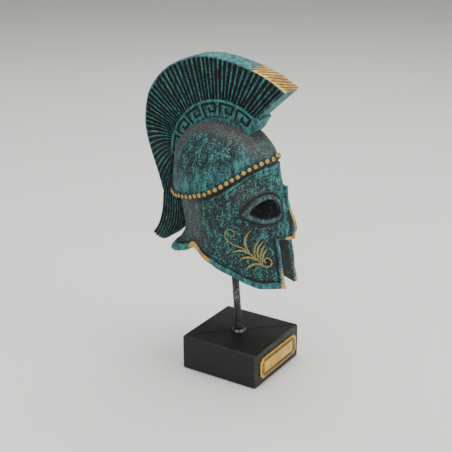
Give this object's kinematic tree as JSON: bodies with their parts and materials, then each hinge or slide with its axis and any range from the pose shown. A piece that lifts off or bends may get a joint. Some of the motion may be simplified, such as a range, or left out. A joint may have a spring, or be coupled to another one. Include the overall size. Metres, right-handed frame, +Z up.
{
  "type": "crested greek helmet on display stand",
  "caption": "Crested Greek helmet with cheek guards, eye openings and a fanned plume, cast in patinated bronze colour and held on a post over a square block.",
  "frame": {"origin": "centre of the block's underside", "axes": "+Z up along the post, -Y the way the helmet faces, +X towards the helmet's left side"},
  "size_m": [0.0742, 0.1363, 0.2554],
  "materials": {
    "patinated_bronze": "verdigris brushed over near-black, matt to satin",
    "gilt_bronze": "rubbed gilt with dark recesses",
    "black_rod": "black, rubbed grey in places",
    "worn_steel": "blackened with bright edges",
    "black_wood": "matt black paint",
    "plaque_brass": "polished brass"
  },
  "bodies": {
    "root": {"helmet_shell": "patinated_bronze", "nasal_guard": "patinated_bronze", "eye_rim_left": "patinated_bronze", "eye_rim_right": "patinated_bronze", "bead_band": "gilt_bronze", "palmette_left": "gilt_bronze", "palmette_right": "gilt_bronze", "crest_holder": "patinated_bronze", "crest_plume": "patinated_bronze", "crest_tail": "patinated_bronze", "stand_post": "black_rod", "stand_nut": "worn_steel", "stand_base": "black_wood", "base_plaque": "plaque_brass"}
  },
  "joints": []
}
